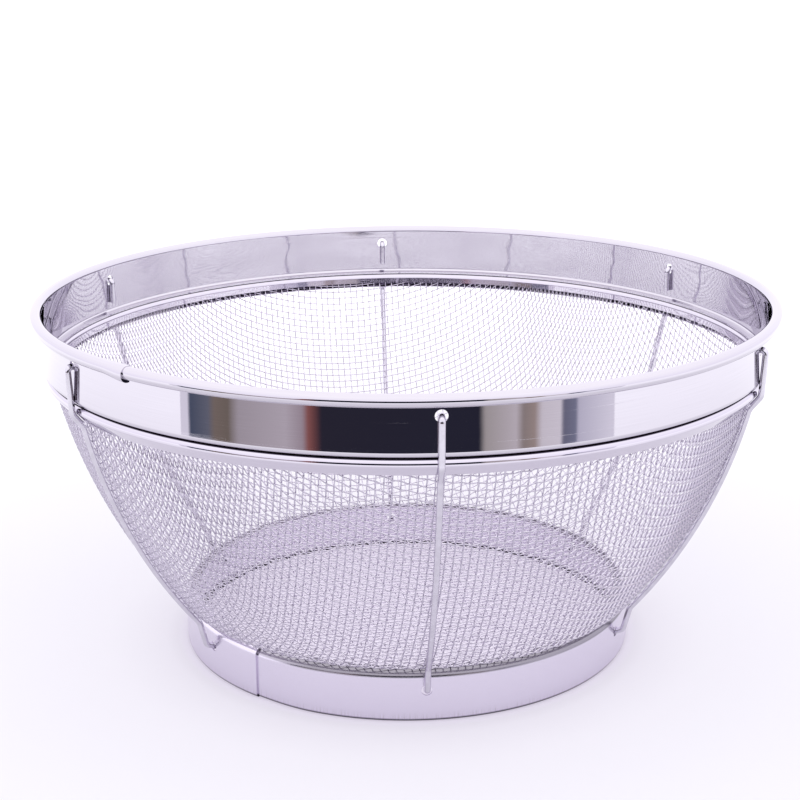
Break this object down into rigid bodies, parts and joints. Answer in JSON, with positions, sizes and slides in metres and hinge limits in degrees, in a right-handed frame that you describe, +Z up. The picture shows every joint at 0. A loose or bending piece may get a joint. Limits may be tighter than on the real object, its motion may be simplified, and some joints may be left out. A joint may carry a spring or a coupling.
{
  "type": "basket strainer",
  "caption": "Round stainless-steel mesh strainer basket: a woven wire bowl held by bent wire ribs between a rolled rim band and a foot ring.",
  "frame": {"origin": "centre of the foot ring's underside, on the basket's axis, where it stands on a surface", "axes": "+Z up along the basket's axis towards the mouth; the front rib faces -Y, turned a few degrees towards +X; +X is to the right seen from the front"},
  "size_m": [0.24, 0.24, 0.116],
  "materials": {
    "band": "mirror-polished stainless steel",
    "hem": "polished stainless steel",
    "cloth": "bright stainless wire cloth",
    "foot": "satin stainless steel",
    "rib": "bright drawn stainless wire"
  },
  "bodies": {
    "root": {"rim_band": "band", "hem_ring": "hem", "mesh_bowl": "cloth", "foot_ring": "foot", "rib_front": "rib", "rib_front_right": "rib", "rib_back_right": "rib", "rib_back": "rib", "rib_back_left": "rib", "rib_front_left": "rib"}
  },
  "joints": []
}
